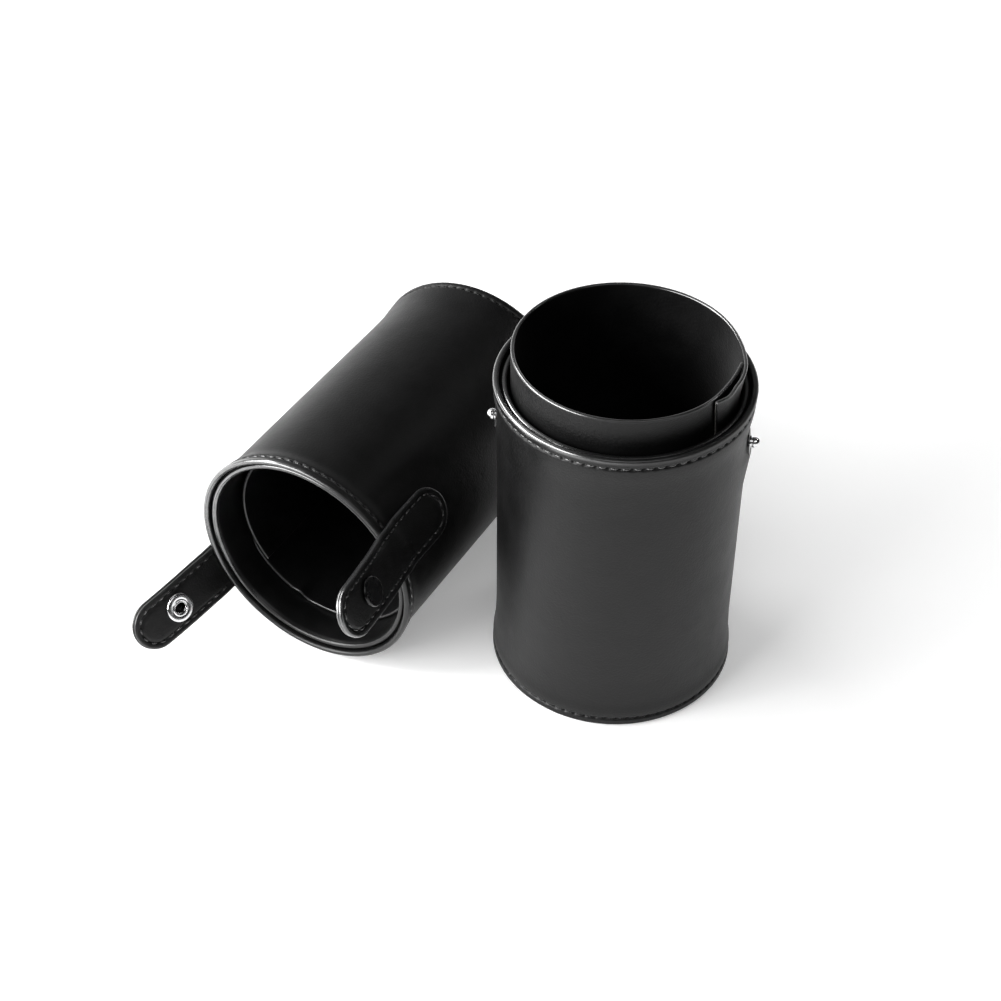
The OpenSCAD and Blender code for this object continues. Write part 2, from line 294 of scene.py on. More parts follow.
class Shader(Nodes):
    """A Principled material whose textures follow the grain attribute."""

    def __init__(self, name, **values):
        self.material = bpy.data.materials.new(name)
        self.material.use_nodes = True
        super().__init__(self.material.node_tree)
        self.bsdf = self.tree.nodes["Principled BSDF"]
        for socket, value in values.items():
            self.bsdf.inputs[socket.replace("_", " ")].default_value = value
        self.place = self.node("ShaderNodeAttribute", attribute_name="grain").outputs["Vector"]

    def link(self, output, socket):
        self.tree.links.new(output, self.bsdf.inputs[socket])

    def stretched(self, x, y, z):
        return self.node("ShaderNodeMapping", {"Vector": self.place, "Scale": (x, y, z)}).outputs[0]

    def noise(self, size, detail=4.0, rough=0.55, place=None):
        """Noise whose features are about size millimetres."""
        made = self.node("ShaderNodeTexNoise", {"Vector": place or self.place, "Scale": 1 / size,
                                                "Detail": detail, "Roughness": rough})
        return made.outputs["Fac"]

    def cells(self, size):
        """Rounded cells that are about size millimetres across."""
        made = self.node("ShaderNodeTexVoronoi", {"Vector": self.place, "Scale": 1 / size},
                         feature="SMOOTH_F1")
        return made.outputs["Distance"]

    def between(self, factor, one, two):
        made = self.node("ShaderNodeMix", {"Factor": factor}, data_type="RGBA")
        for slot_at, colour in ((6, one), (7, two)):
            if isinstance(colour, bpy.types.NodeSocket):
                self.tree.links.new(colour, made.inputs[slot_at])
            else:
                made.inputs[slot_at].default_value = (*colour, 1)
        return made.outputs[2]

    def edge(self):
        """The mesh's edge attribute."""
        return self.node("ShaderNodeAttribute", attribute_name="edge").outputs["Fac"]

    def bump(self, height, depth, under=None, strength=1.0):
        """Bump of that depth in millimetres; under is a bump that it adds to."""
        inputs = {"Height": height, "Strength": strength, "Distance": depth * MM}
        if under is not None:
            inputs["Normal"] = under
        return self.node("ShaderNodeBump", inputs).outputs["Normal"]


PALE_CUT_END = 2.0  # edge value of a cut end, which is painted pale grey: a painted highlight for the light the cut edge catches


def leather(name, dark, light, rough, grain, depth, specular, shine, nap=0.0):
    """Coated leather: pebbled grain with fine pores, faint wrinkles, and turned edges painted lighter and
    glossier, as wear all round and, where highlights fall, as a painted highlight. nap is the sheen of its
    raw inner face, strongest in a patch where the key light grazes it, a painted sheen. A cut end is painted
    pale grey as a highlight."""
    s = Shader(name)
    patches = s.noise(9, 3)
    edge = s.edge()
    # The edge mark: edges painted lighter and glossier, as wear all round and as a painted highlight where
    # highlights fall.
    edge_wear_and_highlight = s.math("MULTIPLY", edge, s.ranged(s.noise(4, 2), 0.3, 0.65, 0.82, 1))
    s.link(s.ranged(edge_wear_and_highlight, 0, 1, specular, 1.0), "Specular IOR Level")
    s.link(s.ranged(edge_wear_and_highlight, 0.25, 1, 0, 1), "Coat Weight")
    s.bsdf.inputs["Coat Roughness"].default_value = 0.16
    s.bsdf.inputs["Coat IOR"].default_value = 2.6
    tone = s.between(s.ranged(patches, 0.35, 0.7, 0, 1), dark, light)
    # Painted highlight and wear: the edge colour is lightened where the edge mark is high.
    tone = s.between(edge_wear_and_highlight, tone, tuple(c * 3 for c in light))
    # A cut end is painted pale grey: a painted highlight for the light its edge catches.
    s.link(s.between(s.ranged(edge, 1.3, PALE_CUT_END, 0, 1), tone, (0.1, 0.097, 0.09)), "Base Color")
    pebbles = s.cells(grain)
    pores = s.noise(grain * 0.35, 2)
    mottle = s.math("ADD", s.ranged(patches, 0.3, 0.7, rough - 0.03, rough + 0.03),
                    s.ranged(pores, 0.3, 0.7, -0.03, 0.03))
    s.link(s.math("SUBTRACT", mottle, s.math("MULTIPLY", edge_wear_and_highlight, shine)), "Roughness")
    flat = s.ranged(edge, 0, 1, 1, 0.15)
    coarse = s.bump(s.ranged(pebbles, 0, 0.8, 1, 0), depth, s.bump(s.noise(14, 2), 0.16), flat)
    s.link(s.bump(pores, depth * 0.35, coarse, flat), "Normal")
    if nap:
        split = s.node("ShaderNodeSeparateXYZ", {0: s.place}).outputs
        # The sheen is strongest in a patch of the raw inner face where the key light grazes it, a painted
        # sheen; elsewhere the face keeps a faint nap sheen.
        key_light_sheen_patch = s.ranged(s.math("ABSOLUTE", s.math("SUBTRACT", split["X"], 36), 0), 6, 26, 1, 0.06)
        s.link(s.math("MULTIPLY", s.ranged(split["Z"], -0.35, 0.0, nap, 0), key_light_sheen_patch), "Sheen Weight")
        s.bsdf.inputs["Sheen Roughness"].default_value = 0.35
    return s.material


def thread(name, specular, wax):
    """Waxed thread laid in two twisted strands."""
    s = Shader(name, Specular_IOR_Level=specular, Coat_Weight=wax, Coat_Roughness=0.12, Coat_IOR=1.9)
    fibres = s.noise(0.12, 3, place=s.stretched(0.35, 1, 1))
    tone = s.between(s.ranged(fibres, 0.3, 0.7, 0, 1), (0.001, 0.001, 0.001), (0.003, 0.003, 0.0031))
    s.link(tone, "Base Color")
    s.link(s.ranged(fibres, 0.3, 0.7, 0.22, 0.36), "Roughness")
    turned = s.node("ShaderNodeMapping", {"Vector": s.place, "Rotation": (0, 0, math.radians(38))}).outputs[0]
    twist = s.node("ShaderNodeTexWave", {"Vector": turned, "Scale": 0.55, "Distortion": 0.6}).outputs["Fac"]
    s.link(s.bump(twist, 0.08, s.bump(fibres, 0.02)), "Normal")
    return s.material


def plated(name, tint, low, high):
    """Bright plated metal with faint smudges and hairline scratches."""
    s = Shader(name, Metallic=1.0)
    smudge = s.noise(1.6, 3)
    s.link(s.between(s.ranged(smudge, 0.35, 0.7, 0, 1), tint, tuple(c * 0.86 for c in tint)), "Base Color")
    s.link(s.ranged(smudge, 0.3, 0.75, low, high), "Roughness")
    hairs = s.noise(0.25, 4, place=s.stretched(0.15, 1, 1))
    s.link(s.bump(hairs, 0.004), "Normal")
    return s.material


def enamel(name):
    """Black enamel with a soft orange-peel surface and a few spots thinned by use."""
    s = Shader(name, Coat_Weight=0.25, Coat_Roughness=0.12, Specular_IOR_Level=0.4)
    rub = s.ranged(s.noise(0.7, 4), 0.55, 0.75, 0, 0.4)
    s.link(s.between(rub, (0.004, 0.004, 0.0045), (0.03, 0.029, 0.028)), "Base Color")
    s.link(s.ranged(s.noise(2.2, 3), 0.3, 0.7, 0.16, 0.3), "Roughness")
    s.link(s.bump(s.noise(0.5, 2), 0.006), "Normal")
    return s.material


def card(name):
    """Grey pressed board with fibres and specks; it has no grain attribute, so it follows the object."""
    s = Shader(name)
    place = s.node("ShaderNodeTexCoord").outputs["Object"]
    scaled = s.node("ShaderNodeMapping", {"Vector": place, "Scale": (1 / MM, 1 / MM, 1 / MM)}).outputs[0]
    fibres = s.noise(0.8, 6, place=scaled)
    tone = s.between(s.ranged(fibres, 0.35, 0.65, 0, 1), (0.2, 0.18, 0.155), (0.36, 0.33, 0.29))
    s.link(tone, "Base Color")
    s.link(s.ranged(fibres, 0.3, 0.7, 0.8, 0.95), "Roughness")
    s.link(s.bump(fibres, 0.05), "Normal")
    return s.material


SHEET_TONES = (0.002, 0.002, 0.0021), (0.003, 0.003, 0.0031)
WALL_LEATHER = leather("wall_leather", (0.0016, 0.0016, 0.0017), (0.003, 0.003, 0.0031),
                       rough=0.43, grain=0.6, depth=0.04, specular=0.29, shine=0.2)
STRAP_LEATHER = leather("strap_leather", (0.0025, 0.0025, 0.0026), (0.005, 0.005, 0.0052),
                        rough=0.42, grain=0.55, depth=0.05, specular=0.33, shine=0.22)
SLEEVE_LEATHER = leather("sleeve_leather", *SHEET_TONES,
                         rough=0.42, grain=0.6, depth=0.06, specular=0.3, shine=0.22)
# The collar's inner face carries a painted sheen where the key light grazes it.
COLLAR_LEATHER = leather("collar_leather", *SHEET_TONES,
                         rough=0.42, grain=0.6, depth=0.06, specular=0.3, shine=0.22, nap=0.3)
LINING_LEATHER = leather("lining_leather", (0.002, 0.002, 0.0021), (0.0032, 0.0032, 0.0033),
                         rough=0.36, grain=0.45, depth=0.03, specular=0.33, shine=0.16)
BASE_LEATHER = leather("base_leather", (0.001, 0.001, 0.001), (0.0022, 0.0022, 0.0022),
                       rough=0.62, grain=0.6, depth=0.05, specular=0.12, shine=0.0)
THREAD = thread("seam_thread", specular=0.7, wax=0.6)
FOOT_THREAD = thread("foot_thread", specular=0.25, wax=0.0)
CHROME = plated("snap_metal", (0.86, 0.86, 0.87), low=0.1, high=0.24)
ENAMEL = enamel("cap_enamel")
CARD = card("wall_board")

for board in ("cup_board", "cup_base_board", "lid_board", "lid_end_board"):
    board_slots = frame["nodes"][board].data.materials
    board_slots.clear()
    board_slots.append(CARD)

# ---------------------------------------------------------------- stitches

STITCH_LENGTH = 2.6
THREAD_R = 0.3
STITCH_RINGS = 9
STITCH_SIDES = 8


def stitch_template():
    """One stitch along x, its ends diving into the leather that lies at z = 0."""
    x = np.linspace(-1, 1, STITCH_RINGS)
    lift = 0.1 - 0.62 * np.abs(x) ** 3.0
    thick = THREAD_R * (1 - 0.35 * np.abs(x) ** 4)
    a = np.linspace(0, 2 * math.pi, STITCH_SIDES, endpoint=False)
    across = thick[:, None] * np.cos(a)[None, :]
    up = lift[:, None] + thick[:, None] * np.sin(a)[None, :]
    along = (x * STITCH_LENGTH / 2)[:, None] + 0 * a[None, :]
    points = np.stack([along, across, up], axis=-1).reshape(-1, 3)
    faces = grid_faces(STITCH_RINGS, STITCH_SIDES, False, True)
    faces.append(list(range(STITCH_SIDES))[::-1])
    faces.append([(STITCH_RINGS - 1) * STITCH_SIDES + i for i in range(STITCH_SIDES)])
    return points, faces


STITCH_POINTS, STITCH_FACES = stitch_template()


def stitch_row(frames, seed, slant=5.0):
    """Stitches at frames of (centre, along, normal): their points, faces and grain."""
    rng = np.random.default_rng(seed)
    points, faces, grain = [], [], []
    for i, (centre, along, normal) in enumerate(frames):
        lean = math.radians(slant + rng.normal(0, 1.6))
        side = np.cross(normal, along)
        x = along * math.cos(lean) + side * math.sin(lean)
        y = np.cross(normal, x)
        size = np.array([1 + rng.normal(0, 0.03), 1 + rng.normal(0, 0.05), 1 + rng.normal(0, 0.05)])
        local = STITCH_POINTS * size
        base = len(points) * len(STITCH_POINTS)
        points.append(centre + local @ np.stack([x, y, normal]))
        grain.append(local + np.array([i * 5.0, 0, 0]))
        faces += [[k + base for k in f] for f in STITCH_FACES]
    return np.vstack(points), faces, np.vstack(grain)


def seam_around(name, place, radius, height, slope, body, stands_for, seed, material):
    """A ring of stitches in the wall. slope is how fast the wall widens with height there."""
    frames = []
    for i in range(STITCHES):
        a = 2 * math.pi * (i + 0.5) / STITCHES
        out = np.array([math.cos(a), math.sin(a), 0])
        normal = unit(out - slope * np.array([0, 0, 1.0]))
        along = np.array([-math.sin(a), math.cos(a), 0])
        frames.append((out * radius + np.array([0, 0, height]), along, normal))
    points, faces, grain = stitch_row(frames, seed)
    return piece(name, placed(place, points), faces, material, body, stands_for, grain, 60)


# ---------------------------------------------------------------- walls

# Outer outline of each wall: (height, radius). The rim points are measured back from the open end.
CUP_FOOT_LINE = [(0.9, 40.3), (3.3, 40.12), (6.0, 40.1), (8.6, 39.68), (12, 39.38), (16, 39.18), (22, 39.02)]
CUP_BODY_LINE = [(40, 38.95), (70, 38.82)]
CUP_RIM_LINE = [(27, 38.8), (20, 38.83), (16, 38.93), (12.6, 39.11), (9.6, 39.4), (6.2, 39.82), (3.4, 40.0),
                (0.95, 40.15)]
LID_FOOT_LINE = [(0.9, 40.15), (3.4, 39.98), (6.0, 39.72), (9.5, 39.3), (14, 39.02), (20, 38.92)]
LID_BODY_LINE = [(40, 38.9), (75, 38.88)]
LID_RIM_LINE = [(12, 38.82), (7.6, 38.95), (5.2, 39.5), (3.4, 39.85), (0.95, 40.15)]

WALL_LINES = {
    "cup": curve_through(CUP_FOOT_LINE + CUP_BODY_LINE + [(CUP_LENGTH - s, r) for s, r in CUP_RIM_LINE]),
    "lid": curve_through(LID_FOOT_LINE + LID_BODY_LINE + [(LID_LENGTH - s, r) for s, r in LID_RIM_LINE]),
}

# Where each wall's rim is painted lighter and glossier most, in degrees about its own axis: where highlights
# fall, a painted highlight
HIGHLIGHT_AT = {"cup": 205, "lid": 304}


def wall_radius(which, height):
    """Outer radius of a wall's leather."""
    line = WALL_LINES[which]
    return np.interp(height, line[:, 0], line[:, 1])


def seam_heights(length):
    """Heights of the seams at a wall's closed end and at its open end."""
    return (SEAM_INSET, length - SEAM_INSET)


def seam_dent(around, height, length):
    """How far the leather sinks at the two seams: a shallow valley with a pit at each needle hole."""
    step = 2 * math.pi / STITCHES
    to_hole = (around / step + 0.5) % 1 - 0.5
    dent = 0
    for z in seam_heights(length):
        arc_mm = to_hole * step * RIM_R
        dent = dent - 0.4 * bell(height - z, 0.5) - 0.45 * bell(height - z, 0.5) * bell(arc_mm, 0.55)
    return dent


# How far the leather is pulled out below a stud, and pressed in above it: (height from the stud, distance)
STUD_PULL = [(-16, 0), (-13.5, 0.28), (-9.3, 0.72), (-5.2, 1.12), (-3.2, 1.3), (-1.2, 0.85), (1.5, 0.1),
             (4.4, -0.5), (6.4, -0.42), (9, -0.15), (12, 0)]
STUD_Z = CUP_LENGTH - SNAP_REACH


def stud_pull(around, height, strength=(1.0, 0.55)):
    """How far the studs move the leather: strength is the right one's share and the left one's."""
    pull = smooth_value(STUD_PULL, height - STUD_Z)
    total = 0
    for share, at in zip(strength, (0, math.pi)):
        total = total + share * pull * bell(turn_from(at, around) * RIM_R, 7.0)
    return total


def wall_heights(length):
    """Heights of the rings of a wall: close together at the seams, the foot and the rim."""
    near = [np.arange(z - 1.6, z + 1.61, 0.2) for z in seam_heights(length)]
    foot, middle = np.arange(5.4, 30, 1.2), np.arange(30, length - 36, 4)
    top, ends = np.arange(length - 36, length - 5, 1.0), [1.3, length - 1.5, length - 1.2]
    return np.unique(np.round(np.concatenate(near + [foot, middle, top, ends]), 3))


def wall_skin(which, shift):
    """Outer leather, turned over the rim in a hem that stands clear of the lining."""
    place, length = WALLS[which]
    heights = wall_heights(length)
    outer = [(float(wall_radius(which, z)), float(z)) for z in heights]
    rim_r = float(wall_radius(which, length - HEM / 2))
    foot_r = float(wall_radius(which, 0.9))
    foot = arc((foot_r - FOOT_ROUND, FOOT_GAP + FOOT_ROUND), FOOT_ROUND, -90, 0, 6)
    bead = arc((rim_r - HEM / 2, length - HEM / 2), HEM / 2, 0, 180, 15)
    inside = [(rim_r - HEM, length - 2.0), (rim_r - HEM, length - HEM_DEPTH)]
    back = [(float(wall_radius(which, z)) - 0.6, z) for z in (length - HEM_DEPTH, length - 9, length - 14)]
    back += [(BOARD_R + 0.25, z) for z in (length - 24, length / 2, 20.0)]
    back += [(float(wall_radius(which, z)) - LEATHER, z) for z in (9.0, FLANGE_TOP, FOOT_GAP + 0.4)]
    lip = [(foot_r - LEATHER, FOOT_GAP)]
    outline = foot + outer + bead + inside + back + lip
    limit = BOARD_R + 0.3

    def move(around, radius, height):
        outer_side = smoothstep(limit, limit + 0.4, radius) * (height < length - 2)
        moved = shift(around, height) if shift else 0 * around
        return outer_side * (seam_dent(around, height, length) + moved)

    def polish(around, radius, height):
        # The rim is painted lighter and glossier, most where highlights fall (a painted highlight); the foot
        # a little all round.
        rim = smoothstep(length - 2.2, length - 1.0, height) * wear_and_highlight_polish(around, HIGHLIGHT_AT[which])
        return np.maximum(rim, 0.4 * smoothstep(1.6, 0.6, height)) * (radius > limit)

    return revolve(which + "_wall_leather", place, outline, WALL_LEATHER, which, [which + "_skin"],
                   shift=move, polish=polish)


def wall_lining(which):
    """Lining, turned over in its own hem inside the rim."""
    place, length = WALLS[which]
    top = length - 1.15
    flare = [(0, 0.8), (3, 0.36), (6, 0.06), (8, 0.0)]
    flared = np.arange(length - 12, top - 1, 0.8)
    rings = np.concatenate([[BASE_STACK], np.linspace(20, length - 14, 6), flared])
    inner = [(LINING_R + float(np.interp(top - z, *zip(*flare))), float(z)) for z in rings]
    bead_r = LINING_R + 0.8
    bead = arc((bead_r + HEM / 2, top - HEM / 2), HEM / 2, 180, 0, 15)
    turn_in = float(wall_radius(which, length - HEM / 2)) - HEM - 0.04
    outside = [(bead_r + HEM, length - 2.7), (turn_in, length - 2.9), (turn_in, length - 3.3),
               (bead_r + HEM, length - 3.5), (bead_r + HEM, length - HEM_DEPTH),
               (LINING_R + LEATHER + 0.1, length - HEM_DEPTH),
               (LINING_R + LEATHER - 0.05, length - 14), (LINING_R + LEATHER - 0.05, BASE_STACK)]

    def polish(around, radius, height):
        # The lining's hem is painted lighter and glossier, most where highlights fall: a painted highlight.
        return smoothstep(top - 1.8, top - 0.8, height) * wear_and_highlight_polish(around, HIGHLIGHT_AT[which])

    return revolve(which + "_lining_leather", place, inner + bead + outside, LINING_LEATHER, which,
                   [which + "_lining"], facets=360, polish=polish)


def closed_end(which, skin_node, pad_node):
    """The leather disc that closes a wall, with its upturned flange, and the lining disc inside."""
    place = WALLS[which][0]
    foot_r = float(wall_radius(which, 0.9)) - LEATHER
    edge = arc((foot_r - 0.1, 0.3), 0.3, -90, 0, 6)
    outline = [(0, 0.04), (12, 0.03), (24, 0.02), (33, 0.0)] + edge
    outline += [(foot_r + 0.2, FOOT_GAP - 0.1), (foot_r - 0.12, FOOT_GAP), (foot_r - 0.3, 3),
                (BOARD_R + 0.3, FLANGE_TOP), (BOARD_R + 0.05, FLANGE_TOP), (BOARD_R + 0.02, BASE_SKIN),
                (20, BASE_SKIN), (0, BASE_SKIN)]
    disc(which + "_end_leather", place, outline, BASE_LEATHER, which, [skin_node])
    low, high = BASE_STACK, BASE_STACK + PAD
    rim = arc((LINING_R - 0.45, high - 0.35), 0.35, 0, 90, 5)
    pad = [(0, low), (20, low), (LINING_R - 0.1, low), (LINING_R - 0.1, high - 0.35)] + rim
    pad += [(30, high - 0.02), (20, high), (10, high), (0, high)]
    disc(which + "_end_lining", place, pad, LINING_LEATHER, which, [pad_node])


def seams(which, names):
    """The stitches at a wall's closed end and at its open end."""
    place, length = WALLS[which]
    for height, node, seed, material in zip(seam_heights(length), names, (11, 23), (FOOT_THREAD, THREAD)):
        r = float(wall_radius(which, height))
        slope = float(wall_radius(which, height + 0.6) - wall_radius(which, height - 0.6)) / 1.2
        name = which + "_" + node.split("_")[1] + "_stitches"
        seam_around(name, place, r - SEAM_SUNK, height, slope, which, [node], seed + len(which), material)


wall_skin("cup", stud_pull)
wall_skin("lid", None)
wall_lining("cup")
wall_lining("lid")
closed_end("cup", "cup_base_skin", "cup_floor_pad")
closed_end("lid", "lid_end_skin", "lid_end_pad")
seams("cup", ("cup_foot_thread", "cup_rim_thread"))
seams("lid", ("lid_end_thread", "lid_mouth_thread"))

# ---------------------------------------------------------------- rolled sleeves


def rolled_sheet(name, place, middle_r, high, start, overlap, body, stands_for, wave, thin_start, skew, droop,
                 material, highlit_at):
    """A sheet rolled once round from its free edge, its far end passing inside its beginning.

    middle_r is the radius of the middle of the sheet, and wave(turned, height) moves it from there.
    It stands on the lining disc and ends at height high. thin_start pares its free edge over that many
    degrees. skew (degrees to a millimetre below the top) and droop (millimetres) tilt the free edge.
    The last argument holds the angles at which its upper edge is painted lighter and glossier most, where
    highlights fall: a painted highlight.
    """
    step, low = 1.5, BASE_STACK + PAD
    turned = np.unique(np.concatenate([[0, 0.25, 0.6], np.arange(1.5, 360 + overlap - 1, step),
                                       [360 + overlap - 0.6, 360 + overlap - 0.25, 360 + overlap]]))
    half, corner = SHEET / 2, 0.5
    wavy = np.arange(high - 22, high - 0.6, 1.5)
    rows = np.concatenate([[low + 2], np.linspace(low + 12, high - 24, 5), wavy])
    right, left = [(half, z) for z in rows], [(-half, z) for z in rows[::-1]]
    crown = arc((half - corner, high - corner), corner, 0, 90, 4)
    crown += arc((corner - half, high - corner), corner, 90, 180, 4)
    bottom = arc((corner - half, low + corner), corner, 180, 270, 3)
    bottom += arc((half - corner, low + corner), corner, 270, 360, 3)
    outline = np.array(right + crown + left + bottom)
    off, height = outline[:, 0][None, :], outline[:, 1][None, :]
    end = np.minimum(turned, 360 + overlap - turned)[:, None]
    thin = 0.55 + 0.45 * np.clip(end / 0.6, 0, 1) ** 0.5
    thin = thin * (0.12 + 0.88 * smoothstep(0, thin_start, turned)[:, None])
    radius = middle_r + off * thin + wave(turned[:, None], height)
    lift = np.where(height > high - 2, 1, 0) * 0.12 * np.sin(np.radians(turned * 2.0 + 40))[:, None]
    near_start = 1 - smoothstep(0, 22, turned)[:, None]
    lift = lift - droop * near_start * smoothstep(high - 8, high, height)
    tilt = np.radians(skew * np.minimum(high - height, 14)) * near_start
    angle = np.radians(start + turned)[:, None] + tilt
    points = turned_points(radius, height + lift, angle)
    unrolled = np.radians(turned)[:, None] * LINING_R
    flat = np.stack([unrolled + 0 * off, height + 0 * radius, off + 0 * radius], axis=-1).reshape(-1, 3)
    cols = len(outline)
    faces = grid_faces(len(turned), cols, False, True)
    faces.append(list(range(cols)))
    faces.append([(len(turned) - 1) * cols + i for i in range(cols)][::-1])
    at = np.radians(start + turned)
    # The upper edge is painted lighter and glossier, most at the given angles, where highlights fall: a
    # painted highlight.
    held = np.max([0.35 + 0 * at] + [wear_and_highlight_polish(at, w, 0.35) for w in highlit_at], axis=0)
    edge = np.tile(smoothstep(high - 0.7, high - 0.2, outline[:, 1]), len(turned)) * np.repeat(held, cols)
    # The two cut ends get the mark that paints them pale grey: a painted highlight.
    edge = np.maximum(edge, np.repeat(PALE_CUT_END * (1 - smoothstep(0, 0.5, end[:, 0])), cols))
    return piece(name, placed(place, points), faces, material, body, stands_for, flat, 50,
                 edge)


# How far the collar's edge opens at its flap and closes at its tucked end: (degrees turned, millimetres)
FLAP_LINE = [(0, 1.26), (3, 1.6), (8.5, 2.35), (16, 1.8), (24, 1.85), (34, 1.5), (43, 0.8), (56, 0.15),
             (66, 0)]
TUCK_LINE = [(348, 0), (358, -0.15), (374, -0.62), (386, -0.35), (395.2, 0.2)]
COLLAR_R = 34.15
FLAP_HOLD = (106.0, COLLAR_TOP)
SLEEVE_R = LINING_R - 0.35 - SHEET / 2
KINK_AT = 56.5


def collar_wave(turned, height):
    """The collar's flap, open at the top only, and the step by which its far end passes inside."""
    flap = smooth_value(FLAP_LINE, turned) * (turned < 66)
    tuck = smooth_value(TUCK_LINE, turned) * (turned > 348)
    open_up = np.clip((height - FLAP_HOLD[0]) / (FLAP_HOLD[1] - FLAP_HOLD[0]), 0, 1) ** 1.8
    deep_tuck = -(SHEET + 0.05) * smoothstep(285, 358, turned)
    deep_tuck = np.where(height > FLAP_HOLD[0], deep_tuck * (1 - open_up), deep_tuck)
    return (flap + tuck) * open_up + deep_tuck


def sleeve_wave(turned, height):
    """The sleeve's tucked end, the lip beside it, and the kink in its edge at the mouth."""
    tuck = -(SHEET + 0.05) * smoothstep(262, 358, turned)
    front = smoothstep(SLEEVE_FRONT - 12, SLEEVE_FRONT, height)
    kink = 0.75 * bell(turned - KINK_AT, 3.2) - 0.35 * bell(turned - KINK_AT - 8, 5)
    return tuck - (0.35 * bell(turned - 384, 16) + kink) * front


# The collar's upper edge is painted lighter and glossier most at 200 and 8 degrees, where highlights fall: a
# painted highlight.
rolled_sheet("cup_collar_leather", CUP, COLLAR_R, COLLAR_TOP, start=-37.2, overlap=35.2, body="cup",
             stands_for=["cup_collar"], wave=collar_wave, thin_start=0.5, skew=0.34, droop=0.2,
             material=COLLAR_LEATHER, highlit_at=(200, 8))
rolled_sheet("lid_sleeve_leather", LID, SLEEVE_R, SLEEVE_FRONT, start=-17.7, overlap=28.5, body="lid",
             stands_for=["lid_sleeve"], wave=sleeve_wave, thin_start=16, skew=0.0, droop=2.5,
             material=SLEEVE_LEATHER, highlit_at=())

# ---------------------------------------------------------------- straps


class StrapPath:
    """The middle of a strap, from its sewn end to its tip, and how a flat strap is laid along it.

    x is measured along the strap from the mouth of the lid and is negative where it is sewn down.
    lean is its outward angle at the mouth and at its tip, splay its sideways angle, and twist how far
    it turns about its own length in 20 millimetres.
    """

    def __init__(self, side, lean, splay, twist):
        self.splay, self.twist = math.tan(math.radians(splay)), math.radians(twist)
        self.out = np.array([side, 0.0, 0.0])
        self.across = np.array([0.0, side, 0.0])
        self.along = np.array([0.0, 0.0, 1.0])
        step = 0.25
        self.x = np.arange(-STRAP_SEWN - 1, STRAP_FREE + 1 + step / 2, step)
        sewn = self.x <= 0
        height = LID_LENGTH + self.x
        wall = wall_radius("lid", np.minimum(height, LID_LENGTH - 0.95)) + 0.03 + LAYER
        r, z = np.where(sewn, wall, 0.0), height.copy()
        first = int(np.argmax(~sewn))
        start_angle = math.atan2(wall[first - 1] - wall[first - 9], self.x[first - 1] - self.x[first - 9])
        for i in range(first, len(self.x)):
            t = self.x[i] / STRAP_FREE
            target = math.radians(lean[0] + (lean[1] - lean[0]) * t)
            w = min(1.0, self.x[i] / 4.0)
            angle = start_angle * (1 - w) + target * w
            r[i] = r[i - 1] + step * math.sin(angle)
            z[i] = z[i - 1] + step * math.cos(angle)
        kernel = np.ones(9) / 9
        pad = np.pad(r, 4, mode="edge")
        pad[:4], pad[-4:] = r[0], r[-1] + (r[-1] - r[-2]) * np.arange(1, 5)
        self.r, self.z = np.convolve(pad, kernel, mode="valid"), z

    def lay(self, flat):
        """Points of a flat strap (x along, y across, z out) in the lid's frame."""
        x, y, h = np.asarray(flat).T
        free = np.maximum(x, 0)
        y = y + self.splay * free * free / (free + 2)
        turn = self.twist * free / 20
        y, h = y * np.cos(turn) - h * np.sin(turn), y * np.sin(turn) + h * np.cos(turn)
        r, z = np.interp(x, self.x, self.r), np.interp(x, self.x, self.z)
        dr = np.interp(x, self.x, np.gradient(self.r, self.x))
        dz = np.interp(x, self.x, np.gradient(self.z, self.x))
        size = np.hypot(dr, dz)
        nr, nz = dz / size, -dr / size
        bend = (1 - smoothstep(-2, 12, x)) / WRAP_R + FLAT
        reach = 1 / bend + h
        side, rise = reach * np.sin(bend * y), reach * np.cos(bend * y) - 1 / bend
        return (np.outer(r + nr * rise, self.out) + np.outer(z + nz * rise, self.along)
                + np.outer(side, self.across))

    def frame_at(self, x, y=0.0, h=0.0):
        """Origin, along, across and normal at a place on the strap."""
        spots = self.lay([[x, y, h], [x + 0.05, y, h], [x, y + 0.05, h]])
        along, across = unit(spots[1] - spots[0]), unit(spots[2] - spots[0])
        return spots[0], along, across, np.cross(across, along)


class Outline:
    """A strap's long round-ended outline, walked from its tip at an even pace along its seam."""

    def __init__(self, low, high, half, inset):
        self.low, self.high, self.half = low, high, half
        self.round = math.pi / 2 * (half - inset)
        self.straight = high - low - 2 * half
        self.total = 4 * self.round + 2 * self.straight

    def at(self, walked, inset):
        """(x, y) at a distance walked along the seam, moved to another inset from the edge."""
        walked = np.asarray(walked) % self.total
        side = np.where(walked > self.total / 2, -1.0, 1.0)
        w = np.where(side < 0, self.total - walked, walked)
        radius = self.half - inset
        tip = w < self.round
        tail = w > self.round + self.straight
        tip_a = w / self.round * math.pi / 2
        tail_a = math.pi / 2 + (w - self.round - self.straight) / self.round * math.pi / 2
        x = np.where(tip, self.high - self.half + radius * np.cos(tip_a),
                     np.where(tail, self.low + self.half + radius * np.cos(tail_a),
                              self.high - self.half - (w - self.round)))
        y = np.where(tip, radius * np.sin(tip_a), np.where(tail, radius * np.sin(tail_a), radius))
        return x, side * y


STITCH_STEPS = 8
STITCH_SUNK = 0.28
CROSS_STITCHES = 4


